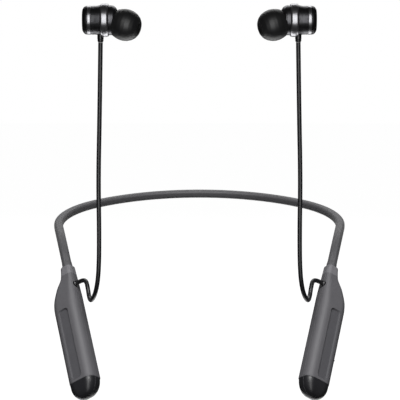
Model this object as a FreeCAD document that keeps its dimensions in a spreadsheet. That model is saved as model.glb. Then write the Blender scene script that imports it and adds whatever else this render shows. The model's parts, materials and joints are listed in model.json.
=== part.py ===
"""Neckband earphones: a flexible rubber neckband on a memory wire, a battery
pod and a control pod on its two arms, and two earbuds on short cables.

Row frame, millimetres: +X to the side of the control pod, +Y backwards (away
from the wearer's face), +Z up. The origin is the point of the band's inner
face that rests on the nape of the neck.
"""
import FreeCAD, Part
import math
import os
import Sketcher
from FreeCAD import Matrix, Placement, Rotation, Vector

os.makedirs("parts", exist_ok=True)
doc = FreeCAD.newDocument("neckband")
sheet = doc.addObject("Spreadsheet::Sheet", "Sizes")


class Q:
    """A size: its number, and the expression that binds it to the sheet."""

    def __init__(self, v, t=None):
        self.v = float(v)
        self.t = t if t is not None else repr(float(v))

    def _mix(self, o, sign, v, swap=False):
        o = q(o)
        a, b = (o, self) if swap else (self, o)
        return Q(v(a.v, b.v), "(%s %s %s)" % (a.t, sign, b.t))

    def __add__(self, o):
        return self._mix(o, "+", lambda a, b: a + b)

    def __radd__(self, o):
        return self._mix(o, "+", lambda a, b: a + b, True)

    def __sub__(self, o):
        return self._mix(o, "-", lambda a, b: a - b)

    def __rsub__(self, o):
        return self._mix(o, "-", lambda a, b: a - b, True)

    def __mul__(self, o):
        return self._mix(o, "*", lambda a, b: a * b)

    def __rmul__(self, o):
        return self._mix(o, "*", lambda a, b: a * b, True)

    def __truediv__(self, o):
        return self._mix(o, "/", lambda a, b: a / b)

    def __neg__(self):
        return Q(-self.v, "(0 - %s)" % self.t)

    def bound(self):
        return "Sizes." in self.t


def q(x):
    return x if isinstance(x, Q) else Q(x)


rows = [0]


def size(alias, value, note):
    rows[0] += 1
    r = rows[0]
    sheet.set("A%d" % r, note)
    sheet.set("B%d" % r, repr(float(value)))
    sheet.setAlias("B%d" % r, alias)
    return Q(value, "Sizes." + alias)


# --- driving sizes -----------------------------------------------------------
band_thick = size("band_thick", 4.0, "band, across its thickness")
band_tall = size("band_tall", 3.6, "band, up its height")
band_round = size("band_round", 1.3, "band corner radius")
rear_radius = size("rear_radius", 76.0, "band centre line, behind the neck")
corner_radius = size("corner_radius", 42.0, "band centre line, at its corners")
rear_turn = size("rear_turn", 40.0, "degrees turned by the rear arc on each side")
flex_turn = size("flex_turn", 70.0, "degrees turned at the flex line")
corner_end = size("corner_end", 98.6, "degrees turned at the end of the corner")
band_tilt = size("band_tilt", 11.0, "degrees that the band falls towards the front")
arm_straight = size("arm_straight", 7.8, "straight run of an arm")
arm_radius = size("arm_radius", 36.2, "downward bend of an arm")
flex_gap = size("flex_gap", 0.9, "gap at a flex line")
memory_dia = size("memory_dia", 1.0, "memory wire")
wiring_dia = size("wiring_dia", 1.3, "bundle of wires in the band")
core_step = size("core_step", 0.85, "memory wire and wiring off the centre line")
pod_length = size("pod_length", 62.0, "pod, collar to dome")
pod_wide = size("pod_wide", 12.6, "pod width")
pod_deep = size("pod_deep", 9.6, "pod depth")
pod_wall = size("pod_wall", 1.2, "pod wall")
pod_roll = size("pod_roll", 32.0, "degrees that a pod's front face turns outwards")
parting = size("parting", 1.2, "parting plane in front of the pod's axis")
cable_dia = size("cable_dia", 1.9, "earbud cable")
bud_radius = size("bud_radius", 5.8, "earbud barrel")
bud_bulge = size("bud_bulge", 6.8, "earbud widest ring")
bud_bore = size("bud_bore", 5.1, "earbud inner wall")
boot_at = size("boot_at", 7.3, "boot axis from the earbud's back face")
boot_radius = size("boot_radius", 1.3, "strain relief boot")
nozzle_radius = size("nozzle_radius", 2.4, "sound nozzle")
tip_radius = size("tip_radius", 6.5, "ear tip, widest")
usb_wide = size("usb_wide", 8.94, "charging receptacle, outer width")
usb_tall = size("usb_tall", 3.16, "charging receptacle, outer height")
board_thick = size("board_thick", 0.8, "circuit board")
key_travel = size("key_travel", 0.25, "travel of a press key")
doc.recompute()

finished = {}      # node name -> document object


# --- document helpers --------------------------------------------------------
def new_body(name):
    b = doc.addObject("PartDesign::Body", name)
    b.Label = name
    return b


def origin_plane(body, role):
    return [f for f in body.Origin.OriginFeatures if f.Role == role][0]


def sketch_on(body, role, offset=0.0):
    sk = body.newObject("Sketcher::SketchObject", "Sketch")
    sk.AttachmentSupport = [(origin_plane(body, role), "")]
    sk.MapMode = "FlatFace"
    o = q(offset)
    sk.AttachmentOffset = Placement(Vector(0, 0, o.v), Rotation())
    if o.bound():
        sk.setExpression("AttachmentOffset.Base.z", o.t)
    return sk


def pin_point(sk, geo, pos, x, y):
    """Hold a point of the sketch at (x, y) from the sketch's origin."""
    x, y = q(x), q(y)
    for value, kind, axis in ((x, "DistanceX", -2), (y, "DistanceY", -1)):
        if value.v == 0:
            sk.addConstraint(Sketcher.Constraint("PointOnObject", geo, pos, axis))
        else:
            c = sk.addConstraint(Sketcher.Constraint(kind, -1, 1, geo, pos, value.v))
            if value.bound():
                sk.setExpression("Constraints[%d]" % c, value.t)


def poly(body, role, pts, offset=0.0):
    """A closed outline of straight sides through pts."""
    sk = sketch_on(body, role, offset)
    p = [(q(x), q(y)) for x, y in pts]
    n = len(p)
    for i in range(n):
        a, b = p[i], p[(i + 1) % n]
        sk.addGeometry(Part.LineSegment(Vector(a[0].v, a[1].v, 0), Vector(b[0].v, b[1].v, 0)), False)
    for i in range(n):
        sk.addConstraint(Sketcher.Constraint("Coincident", i, 2, (i + 1) % n, 1))
    for i in range(n):
        pin_point(sk, i, 1, *p[i])
    return sk


def ring(body, role, centre, radius, offset=0.0):
    """A circle outline."""
    sk = sketch_on(body, role, offset)
    cx, cy, r = q(centre[0]), q(centre[1]), q(radius)
    sk.addGeometry(Part.Circle(Vector(cx.v, cy.v, 0), Vector(0, 0, 1), r.v), False)
    pin_point(sk, 0, 3, cx, cy)
    c = sk.addConstraint(Sketcher.Constraint("Radius", 0, r.v))
    if r.bound():
        sk.setExpression("Constraints[%d]" % c, r.t)
    return sk


def feature(body, kind, sk, length=None, angle=None, axis=None, back=False):
    f = body.newObject("PartDesign::" + kind, kind)
    f.Profile = sk
    if length is not None:
        f.Length = q(length).v
        if q(length).bound():
            f.setExpression("Length", q(length).t)
    if angle is not None:
        f.ReferenceAxis = (sk, [axis])
        f.Angle = angle
    f.Reversed = back
    sk.Visibility = False
    doc.recompute()
    return f


def pad(body, role, pts, offset, length, back=False):
    return feature(body, "Pad", poly(body, role, pts, offset), length, back=back)


def rod(body, role, centre, radius, offset, length, back=False):
    return feature(body, "Pad", ring(body, role, centre, radius, offset), length, back=back)


def pocket(body, sk, length, back=False):
    before = body.Shape.Volume
    f = feature(body, "Pocket", sk, length, back=back)
    if body.Shape.Volume > before - 1e-6:
        raise RuntimeError("pocket cuts nothing in " + body.Label)
    return f


def turn(body, pts, axis="H_Axis", role="XY_Plane"):
    return feature(body, "Revolution", poly(body, role, pts), angle=360.0, axis=axis)


def fillet(body, radius, keep):
    """Round the edges of the body's tip that keep() picks."""
    base = body.Tip
    names = ["Edge%d" % (i + 1) for i, e in enumerate(base.Shape.Edges) if keep(e)]
    f = body.newObject("PartDesign::Fillet", "Fillet")
    f.Base = (base, names)
    f.Radius = radius
    doc.recompute()
    return f


def along(e, axis):
    """True for a straight edge that runs along the given axis."""
    if e.Curve.TypeId != "Part::GeomLine":
        return False
    d = e.Vertexes[1].Point - e.Vertexes[0].Point
    return abs(d.normalize().dot(axis)) > 0.999


def box_pts(x0, x1, y0, y1):
    return [(x0, y0), (x1, y0), (x1, y1), (x0, y1)]


def done(name, obj):
    obj.Label = name
    finished[name] = obj
    return obj


def plain(name, shape, place=None):
    """A sub-part whose shape is set with Part's own functions."""
    o = doc.addObject("Part::Feature", name)
    o.Shape = shape
    if place is not None:
        o.Placement = place
    return done(name, o)


def frame_at(base, x, y, z):
    m = Matrix(x.x, y.x, z.x, base.x, x.y, y.y, z.y, base.y, x.z, y.z, z.z, base.z, 0, 0, 0, 1)
    return Placement(m)


def unit(v):
    w = Vector(v)
    w.normalize()
    return w


# --- layout of the left side, worked out once and mirrored for the right ------
rad = math.radians
tilt = rad(band_tilt.v)
fore = Vector(0, -math.cos(tilt), -math.sin(tilt))     # forwards in the band's plane
rise = Vector(0, -math.sin(tilt), math.cos(tilt))      # the band's plane's normal
rear = Vector(0, band_thick.v / 2, 0)                  # centre line behind the neck


def band_point(deg):
    """Centre line of the left half of the band, by the angle it has turned."""
    a, b = rad(rear_turn.v), rad(deg)
    ra, rc = rear_radius.v, corner_radius.v
    if b <= a:
        x, v = ra * math.sin(b), ra * (1 - math.cos(b))
    else:
        x = ra * math.sin(a) + rc * (math.sin(b) - math.sin(a))
        v = ra * (1 - math.cos(a)) + rc * (math.cos(a) - math.cos(b))
    return rear + Vector(-x, 0, 0) + fore * v


def band_way(deg):
    """Its direction, forwards along the left half."""
    return Vector(-math.cos(rad(deg)), 0, 0) + fore * math.sin(rad(deg))


pod_down = unit(Vector(0.226, -0.592, -0.774))         # along the left pod, collar to dome
corner = band_point(corner_end.v)
arm_way = unit(band_way(corner_end.v))
arm_turn = math.acos(arm_way.dot(pod_down))
arm_side = unit(pod_down - arm_way * pod_down.dot(arm_way))
bend_from = corner + arm_way * arm_straight.v


def arm_point(share):
    b = arm_turn * share
    return bend_from + arm_way * (arm_radius.v * math.sin(b)) + arm_side * (arm_radius.v * (1 - math.cos(b)))


arm_end = arm_point(1.0)

across = unit(Vector(1, 0, 0) - pod_down * pod_down.x)
front0 = pod_down.cross(across)
roll = rad(pod_roll.v)
inner = across * math.cos(roll) + front0 * math.sin(roll)     # towards the pod's inner side
front = front0 * math.cos(roll) - across * math.sin(roll)     # out of the pod's front face
collar_in = 3.4                                               # the arm enters off the pod's axis
pod_top = arm_end - inner * collar_in


def flip(v):
    return Vector(-v.x, v.y, v.z)


# In a pod's own frame Z runs up its axis to the collar, Y to its back face and
# X to its inner side on the left pod, to its outer side on the right pod.
left_pod = frame_at(pod_top, inner, front * -1, pod_down * -1)
right_pod = frame_at(flip(pod_top), flip(inner) * -1, flip(front) * -1, flip(pod_down) * -1)
pod_place = {"left": left_pod, "right": right_pod}
inward = {"left": 1, "right": -1}

boot_x, boot_y, bud_z = -40.5, -112.0, 80.7


def bud_place(side):
    if side == "left":
        return Placement(Vector(boot_x - boot_at.v, boot_y, bud_z), Rotation())
    return Placement(Vector(-boot_x + boot_at.v, boot_y, bud_z), Rotation(Vector(0, 0, 1), 180))


# --- sweeps ---------------------------------------------------------------------
def arc_between(a, way, b):
    """Arc from a, leaving along way, to b."""
    d = b - a
    side = d - way * d.dot(way)
    s = unit(side)
    r = d.dot(d) / (2 * d.dot(s))
    c = a + s * r
    mid = (a + b) * 0.5 - c
    return Part.Arc(a, c + unit(mid) * r, b).toShape()


def rounded(c, x, y, wide, tall, r):
    """Rounded rectangle about c, wide along x and tall along y."""
    w, t = wide / 2.0, tall / 2.0
    k = r * (1 - math.sqrt(0.5))

    def at(u, v):
        return c + x * u + y * v

    e = [
        Part.LineSegment(at(-w + r, -t), at(w - r, -t)),
        Part.Arc(at(w - r, -t), at(w - k, -t + k), at(w, -t + r)),
        Part.LineSegment(at(w, -t + r), at(w, t - r)),
        Part.Arc(at(w, t - r), at(w - k, t - k), at(w - r, t)),
        Part.LineSegment(at(w - r, t), at(-w + r, t)),
        Part.Arc(at(-w + r, t), at(-w + k, t - k), at(-w, t - r)),
        Part.LineSegment(at(-w, t - r), at(-w, -t + r)),
        Part.Arc(at(-w, -t + r), at(-w + k, -t + k), at(-w + r, -t)),
    ]
    return Part.Wire([g.toShape() for g in e])


def circle(c, normal, r):
    return Part.Wire([Part.Circle(c, normal, r).toShape()])


def sweep(path, outline):
    mk = Part.BRepOffsetAPI.MakePipeShell(Part.Wire(path))
    mk.setFrenetMode(False)
    mk.add(outline, False, False)
    mk.build()
    mk.makeSolid()
    s = mk.shape()
    if s.Volume < 0:
        s.reverse()
    return s


def band_path(start, end):
    """The band's edges on the left side, from one turned angle to another."""
    cuts = [start] + [d for d in (rear_turn.v,) if start < d < end] + [end]
    return [arc_between(band_point(a), band_way(a), band_point(b)) for a, b in zip(cuts, cuts[1:])]


half_gap = math.degrees(flex_gap.v / 2 / corner_radius.v)


# --- rear of the band: one pipe along the arcs, mirrored -------------------------
rear_place = Placement(rear, Rotation(Vector(1, 0, 0), band_tilt.v))


def rear_pipe(name, outline):
    """A pipe along the rear arc and the corner arc, up to the flex line."""
    body = new_body(name)
    spine = sketch_on(body, "XY_Plane")
    a, b = rad(rear_turn.v), rad(flex_turn.v - half_gap)
    ra, rc = rear_radius.v, corner_radius.v
    spine.addGeometry(Part.ArcOfCircle(Part.Circle(Vector(0, -ra, 0), Vector(0, 0, 1), ra), math.pi / 2 - a, math.pi / 2), False)
    c2 = Vector((ra - rc) * math.sin(a), -ra + (ra - rc) * math.cos(a), 0)
    spine.addGeometry(Part.ArcOfCircle(Part.Circle(c2, Vector(0, 0, 1), rc), math.pi / 2 - b, math.pi / 2 - a), False)
    spine.addConstraint(Sketcher.Constraint("Coincident", 0, 1, 1, 2))
    spine.addConstraint(Sketcher.Constraint("PointOnObject", 0, 3, -2))
    spine.addConstraint(Sketcher.Constraint("Coincident", 0, 2, -1, 1))
    for g, r in ((0, rear_radius), (1, corner_radius)):
        k = spine.addConstraint(Sketcher.Constraint("Radius", g, r.v))
        spine.setExpression("Constraints[%d]" % k, r.t)
    doc.recompute()
    prof = outline(body)
    pipe = body.newObject("PartDesign::AdditivePipe", "Pipe")
    pipe.Profile = prof
    pipe.Spine = (spine, ["Edge1", "Edge2"])
    doc.recompute()
    mirror = body.newObject("PartDesign::Mirrored", "Mirrored")
    mirror.Originals = [pipe]
    mirror.MirrorPlane = (origin_plane(body, "YZ_Plane"), [""])
    body.Tip = mirror
    doc.recompute()
    return body


def sleeve_outline(body):
    """Rounded rectangle with the two bores for the memory wire and the wiring."""
    sk = sketch_on(body, "YZ_Plane")
    w, t, r = band_thick.v / 2, band_tall.v / 2, band_round.v
    V = Vector
    n = [
        Part.LineSegment(V(-w + r, -t, 0), V(w - r, -t, 0)),
        Part.ArcOfCircle(Part.Circle(V(w - r, -t + r, 0), V(0, 0, 1), r), 1.5 * math.pi, 2 * math.pi),
        Part.LineSegment(V(w, -t + r, 0), V(w, t - r, 0)),
        Part.ArcOfCircle(Part.Circle(V(w - r, t - r, 0), V(0, 0, 1), r), 0, 0.5 * math.pi),
        Part.LineSegment(V(w - r, t, 0), V(-w + r, t, 0)),
        Part.ArcOfCircle(Part.Circle(V(-w + r, t - r, 0), V(0, 0, 1), r), 0.5 * math.pi, math.pi),
        Part.LineSegment(V(-w, t - r, 0), V(-w, -t + r, 0)),
        Part.ArcOfCircle(Part.Circle(V(-w + r, -t + r, 0), V(0, 0, 1), r), math.pi, 1.5 * math.pi),
    ]
    for g in n:
        sk.addGeometry(g, False)
    ends = [(0, 2, 1, 1), (1, 2, 2, 1), (2, 2, 3, 1), (3, 2, 4, 1), (4, 2, 5, 1), (5, 2, 6, 1), (6, 2, 7, 1), (7, 2, 0, 1)]
    for a, pa, b, pb in ends:
        sk.addConstraint(Sketcher.Constraint("Tangent", a, pa, b, pb))
    for g in (1, 3, 5, 7):
        k = sk.addConstraint(Sketcher.Constraint("Radius", g, r))
        sk.setExpression("Constraints[%d]" % k, band_round.t)
    pin_point(sk, 2, 1, band_thick / 2, -(band_tall / 2) + band_round)
    pin_point(sk, 6, 1, -(band_thick / 2), band_tall / 2 - band_round)
    for z, r_ in ((core_step, memory_dia / 2 + 0.02), (-core_step, wiring_dia / 2 + 0.02)):
        i = sk.addGeometry(Part.Circle(V(0, z.v, 0), V(0, 0, 1), r_.v), False)
        pin_point(sk, i, 3, 0, z)
        k = sk.addConstraint(Sketcher.Constraint("Radius", i, r_.v))
        sk.setExpression("Constraints[%d]" % k, r_.t)
    return sk


def core_outline(step, dia):
    return lambda body: ring(body, "YZ_Plane", (0, step), dia / 2)


for name, outline in (
    ("rear_sleeve", sleeve_outline),
    ("rear_memory_wire", core_outline(core_step, memory_dia)),
    ("rear_wiring", core_outline(-core_step, wiring_dia)),
):
    b = rear_pipe(name, outline)
    b.Placement = rear_place
    done(name, b)


# --- arms: sleeve, memory wire and wiring from the flex line to the pod ----------
def mirrored(name, source):
    m = doc.addObject("Part::Mirroring", name)
    m.Source = source
    m.Normal = Vector(1, 0, 0)
    m.Base = Vector(0, 0, 0)
    return done(name, m)


start = flex_turn.v + half_gap
arm_path = band_path(start, corner_end.v)
arm_path.append(Part.LineSegment(corner, bend_from).toShape())
arm_path.append(arc_between(bend_from, arm_way, arm_end))
p0 = band_point(start)
side0 = unit(band_way(start).cross(rise))
sleeve = sweep(arm_path, rounded(p0, side0, rise, band_thick.v, band_tall.v, band_round.v))
stub = Part.makeCylinder(1.9, 1.5, arm_end, pod_down)
into_pod = arm_path + [Part.LineSegment(arm_end, arm_end + pod_down * 8.0).toShape()]
bores = [
    sweep(into_pod, circle(p0 + rise * core_step.v, band_way(start), memory_dia.v / 2 + 0.02)),
    sweep(into_pod, circle(p0 - rise * core_step.v, band_way(start), wiring_dia.v / 2 + 0.02)),
]
cores = [
    sweep(into_pod, circle(p0 + rise * core_step.v, band_way(start), memory_dia.v / 2)),
    sweep(into_pod, circle(p0 - rise * core_step.v, band_way(start), wiring_dia.v / 2)),
]
sleeve = sleeve.fuse(stub).cut(bores)
mirrored("right_arm_sleeve", plain("left_arm_sleeve", sleeve.Solids[0] if len(sleeve.Solids) == 1 else sleeve))
mirrored("right_memory_wire", plain("left_memory_wire", cores[0]))
mirrored("right_wiring", plain("left_wiring", cores[1]))


# --- pods ---------------------------------------------------------------------
# Stations down the pod: height, outer side, inner side, half depth, corner
# radius. Outer is negative and inner positive; the shoulder swells outwards.
hw, hd = pod_wide.v / 2, pod_deep.v / 2
L = pod_length.v
stations = [
    (0.0, 0.75, hw - 0.3, 2.7, 1.6),
    (-4.9, -0.1, hw - 0.2, 3.1, 1.9),
    (-10.1, -3.4, hw - 0.1, 3.9, 2.6),
    (-16.4, -(hw - 0.4), hw, hd - 0.2, 3.3),
    (-20.0, -hw, hw, hd, 3.6),
    (-(L - 7.5), -hw, hw, hd, 3.6),
    (-(L - 4.0), -(hw - 0.45), hw - 0.45, hd - 0.3, 3.9),
    (-(L - 1.7), -(hw - 1.4), hw - 1.4, hd - 1.0, 3.5),
    (-(L - 0.4), -(hw - 3.0), hw - 3.0, hd - 2.3, 2.4),
    (-L, -(hw - 4.7), hw - 4.7, hd - 3.7, 1.0),
]


def station(z):
    for a, b in zip(stations, stations[1:]):
        if b[0] <= z <= a[0]:
            k = (a[0] - z) / (a[0] - b[0])
            return [x + (y - x) * k for x, y in zip(a, b)]
    raise ValueError(z)


def slice_wire(s, z, inset=0.0):
    _, lo, hi, half, r = station(z)
    lo, hi, half = lo + inset, hi - inset, half - inset
    r = max(r - inset, 0.3)
    x = Vector(s, 0, 0)
    return rounded(Vector(s * (lo + hi) / 2, 0, z), x, Vector(0, s, 0), hi - lo, 2 * half, r)


def loft(s, zs, inset=0.0):
    return Part.makeLoft([slice_wire(s, z, inset) for z in zs], True, True)


def pod_box(s, a0, a1, b0, b1, z0, z1):
    """A box given by its inner/outer, front/back and height limits."""
    x0, x1 = sorted((s * a0, s * a1))
    y0, y1 = sorted((-b0, -b1))
    return Part.makeBox(x1 - x0, y1 - y0, z1 - z0, Vector(x0, y0, z0))


def pod_rod(s, r, a, b, z, way, length):
    d = {"a": Vector(s, 0, 0), "b": Vector(0, -1, 0), "z": Vector(0, 0, 1)}[way]
    return Part.makeCylinder(r, length, Vector(s * a, -b, z), d)


screw_spots = [(-1.5, -14.5), (0.0, -(L - 6.0))]
flap_lo, flap_hi = -(L - 7.0), -42.3
usb_z = -48.4
rocker_z = -31.5
split = parting.v


def pod_shells(side):
    s = inward[side]
    outer = loft(s, [st[0] for st in stations])
    cavity = loft(s, [-1.6, -4.9, -10.1, -16.4, -20.0, -(L - 7.5), -(L - 4.0), -(L - 3.0)], pod_wall.v)
    shell = outer.cut(cavity)
    # bosses for the two screws
    for a, z in screw_spots:
        half = station(z)[3]
        boss = pod_rod(s, 1.7, a, -half + 0.6, z, "b", 2 * half - 1.2)
        shell = shell.fuse(boss.common(outer))
    # posts that carry the rocker's pin
    if side == "right":
        for b0, b1 in ((-2.4, -1.4), (1.4, 2.4)):
            shell = shell.fuse(pod_box(s, -5.3, -3.9, b0, b1, rocker_z - 1.2, rocker_z + 1.2))
    cuts = [
        # socket for the arm's stub
        pod_rod(s, 1.93, collar_in, 0, -1.7, "z", 1.8),
        # seat of the cable gland, on the parting plane
        pod_rod(s, 1.47, 4.0, split, -10.0, "a", 3.0),
        pod_rod(s, 2.0, 4.2, split, -10.0, "a", 0.7),
        # window of the press key
        pod_box(s, -1.0, 2.2, -1.6, 0.8, -4.7, -1.7),
        # shallow recess in the front face
        recess(s),
    ]
    for a, z in screw_spots:
        half = station(z)[3]
        cuts.append(pod_rod(s, 0.8, a, -half - 0.5, z, "b", half + 0.5 + split))
        cuts.append(pod_rod(s, 1.4, a, -half - 0.5, z, "b", 0.5 + half - 2.6))
        cuts.append(pod_rod(s, 0.7, a, split, z, "b", 2.0))
    if side == "right":
        cuts += [
            pod_box(s, -7.0, -4.8, -1.85, 1.85, rocker_z - 7.8, rocker_z + 7.8).cut(
                pod_box(s, -5.3, -3.9, -3, -1.4, rocker_z - 1.2, rocker_z + 1.2).fuse(
                    pod_box(s, -5.3, -3.9, 1.4, 3, rocker_z - 1.2, rocker_z + 1.2)
                )
            ),
            pod_rod(s, 0.52, -4.7, -2.5, rocker_z, "b", 5.0),
            pod_box(s, -7.0, -5.45, -2.55, 2.55, flap_lo - 0.2, flap_hi + 0.75),
            pod_box(s, -7.0, -4.8, -1.8, 1.8, usb_z - 4.7, usb_z + 4.7),
            pod_rod(s, 0.62, -7.0, -0.5, -20.9, "a", 2.4),
            pod_rod(s, 0.4, -7.0, -0.5, -17.9, "a", 2.6),
        ]
    shell = shell.cut(cuts)
    big = 40.0
    ahead = Part.makeBox(2 * big, big, 2 * big, Vector(-big, -big - split, -big - 31))
    pieces = {"front": shell.common(ahead), "back": shell.cut(ahead)}
    for part, shp in pieces.items():
        solids = sorted(shp.Solids, key=lambda o: -o.Volume)
        print(side, part, "shell solids", [round(o.Volume, 3) for o in solids])
        plain("%s_%s_shell" % (side, part), solids[0], pod_place[side])


def recess(s):
    """The long shallow hollow of the front face, as a rounded bar."""
    z0, z1, a0, a1 = -(L - 8.0), -20.5, -3.5, 1.8
    w = rounded(Vector(s * (a0 + a1) / 2, -(hd - 0.6), (z0 + z1) / 2), Vector(1, 0, 0), Vector(0, 0, 1), a1 - a0, z1 - z0, 1.6)
    return Part.Face(w).extrude(Vector(0, -2.0, 0))


def pod_pad(name, side, a0, a1, b0, b1, z0, z1, round_by=0.0):
    """A block inside a pod: a pad along the pod's axis, its long edges rounded."""
    s = inward[side]
    body = new_body(name)
    x0, x1 = (a0, a1) if s > 0 else (-q(a1), -q(a0))
    pad(body, "XY_Plane", box_pts(x0, x1, -q(b1), -q(b0)), z0, q(z1) - z0)
    if round_by:
        fillet(body, round_by, lambda e: along(e, Vector(0, 0, 1)))
    body.Placement = pod_place[side]
    return body


for side in ("left", "right"):
    pod_shells(side)
    s = inward[side]

    # cable gland: a flange inside the wall and a short neck outside it
    g = new_body(side + "_gland")
    turn(g, [(4.3, 0), (4.3, 1.95), (4.85, 1.95), (4.85, 1.45), (6.3, 1.45), (6.9, 1.2), (6.9, 0)])
    spin = Rotation(Vector(0, 0, 1), 0 if s > 0 else 180)
    g.Placement = pod_place[side].multiply(Placement(Vector(0, -split, -10.0), spin))
    done(side + "_gland", g)

    # two self-tapping screws, as separate solids of one group
    screws = []
    for i, (a, z) in enumerate(screw_spots):
        half = station(z)[3]
        k = new_body("%s_screw_%d" % (side, i + 1))
        turn(k, [(0, -2.6), (1.3, -2.6), (1.3, -3.3), (0.9, -3.7), (0.35, -3.7), (0.35, -3.3), (0, -3.3)], "V_Axis")
        turn(k, [(0, -2.7), (0.68, -2.7), (0.68, 2.4), (0.3, 2.9), (0, 2.9)], "V_Axis")
        # the screw's own Y runs forwards out of the back shell
        k.Placement = pod_place[side].multiply(Placement(Vector(s * a, 0, z), Rotation(Vector(1, 0, 0), 180)))
        screws.append(k)
    group = doc.addObject("Part::Compound", side + "_screws")
    group.Links = screws
    done(side + "_screws", group)

# battery pod
done("battery_cell", pod_pad("battery_cell", "left", -4.7, 4.7, -3.3, 1.7, -51.0, -20.5, 1.5))
done("battery_pad", pod_pad("battery_pad", "left", -3.0, 3.0, 1.75, 3.5, -48.0, -23.0))
board = pod_pad("protection_board", "left", 0.7, 4.2, -(board_thick / 2), board_thick / 2, -19.4, -12.6)
done("protection_board", board)
done("power_switch", pod_pad("power_switch", "left", 1.7, 2.1, -1.6, 0.8, -4.9, -1.9))

# control pod: board with notches for the receptacle and the rocker's leg
main = new_body("main_board")
bt = board_thick
pad(main, "XZ_Plane", [
    (-4.6, -53.4), (-1.7, -53.4), (-1.7, -43.6), (4.6, -43.6),
    (4.6, rocker_z - 1.4), (3.5, rocker_z - 1.4), (3.5, rocker_z + 1.4), (4.6, rocker_z + 1.4),
    (4.6, -20.2), (-4.6, -20.2),
], -0.5, bt)
main.Placement = right_pod
done("main_board", main)

can = new_body("shield_can")
pad(can, "XY_Plane", box_pts(-3.4, 3.4, 0.52, 2.3), -41.0, 17.0)
pocket(can, poly(can, "XZ_Plane", box_pts(-3.15, 3.15, -40.75, -24.25), -0.5), 1.5)
can.Placement = right_pod
done("shield_can", can)

sw = []
for i, z in enumerate((rocker_z + 5.5, rocker_z - 5.5)):
    sw.append(pod_pad("rocker_switch_%d" % (i + 1), "right", -5.0, -3.0, 0.35, 1.7, z - 1.5, z + 1.5, 0.2))
group = doc.addObject("Part::Compound", "rocker_switches")
group.Links = sw
done("rocker_switches", group)
done("mode_switch", pod_pad("mode_switch", "right", 1.7, 2.1, -1.6, 0.8, -4.9, -1.9))
done("microphone", pod_pad("microphone", "right", -4.6, -3.6, -1.5, 0.5, -19.0, -17.0, 0.2))

# charging receptacle: a flat oval tube with a block and a tongue inside;
# in the control pod's frame it opens towards +X, the pod's outer side
usb = new_body("usb_receptacle")
pad(usb, "YZ_Plane", box_pts(-(usb_tall / 2), usb_tall / 2, usb_z - usb_wide / 2, usb_z + usb_wide / 2), -1.2, 6.3)
fillet(usb, 1.4, lambda e: along(e, Vector(1, 0, 0)))
pocket(usb, poly(usb, "YZ_Plane", box_pts(-(usb_tall / 2 - 0.3), usb_tall / 2 - 0.3, usb_z - usb_wide / 2 + 0.3, usb_z + usb_wide / 2 - 0.3), 5.1), 5.3)
pad(usb, "YZ_Plane", box_pts(-0.35, 0.35, usb_z - 3.3, usb_z + 3.3), -0.6, 4.7)
usb.Placement = right_pod
done("usb_receptacle", usb)

led = new_body("led_light_pipe")
turn(led, [(4.9, 0), (4.9, 0.58), (6.25, 0.58), (6.25, 0)])
led.Placement = right_pod.multiply(Placement(Vector(0, 0.5, -20.9), Rotation()))
done("led_light_pipe", led)

pin = new_body("rocker_pin")
rod(pin, "XZ_Plane", (4.7, rocker_z), 0.5, -2.35, 4.7)
pin.Placement = right_pod
done("rocker_pin", pin)

# moving controls
for name, side in (("power_key", "left"), ("mode_key", "right")):
    k = pod_pad(name, side, -0.45, 1.4, -1.4, 0.6, -4.5, -1.9, 0.6)
    done(name, k)

rocker = new_body("volume_rocker")
pad(rocker, "XZ_Plane", [
    (5.5, rocker_z - 7.5), (6.75, rocker_z - 7.5), (6.9, rocker_z - 6.5), (6.9, rocker_z - 2.5),
    (6.6, rocker_z), (6.9, rocker_z + 2.5), (6.9, rocker_z + 6.5), (6.75, rocker_z + 7.5), (5.5, rocker_z + 7.5),
], -1.6, 3.2)
pad(rocker, "XZ_Plane", box_pts(3.9, 5.6, rocker_z - 0.85, rocker_z + 0.85), -1.2, 2.4)
pocket(rocker, ring(rocker, "XZ_Plane", (4.7, rocker_z), 0.55, -3.0), 6.0, True)
rocker.Placement = right_pod
done("volume_rocker", rocker)

flap = new_body("port_flap")
pad(flap, "XZ_Plane", box_pts(5.55, 6.35, flap_lo, flap_hi), -2.35, 4.7)
rod(flap, "XZ_Plane", (6.05, flap_hi), 0.45, -2.35, 4.7)
pad(flap, "XZ_Plane", box_pts(4.6, 5.6, usb_z - 3.95, usb_z + 3.95), -1.05, 2.1)
flap.Placement = right_pod
done("port_flap", flap)


# --- earbuds ---------------------------------------------------------------------
def nozzle_way(side):
    y = -0.332 if side == "left" else 0.332
    return unit(Vector(0.912, y, -0.24))


nozzle_root = Vector(10.0, 0, 0)


def on_nozzle(side):
    """Frame whose X runs out along the nozzle from its root."""
    x = nozzle_way(side)
    y = unit(Vector(0, 0, 1).cross(x))
    return frame_at(nozzle_root, x, y, x.cross(y))


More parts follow.
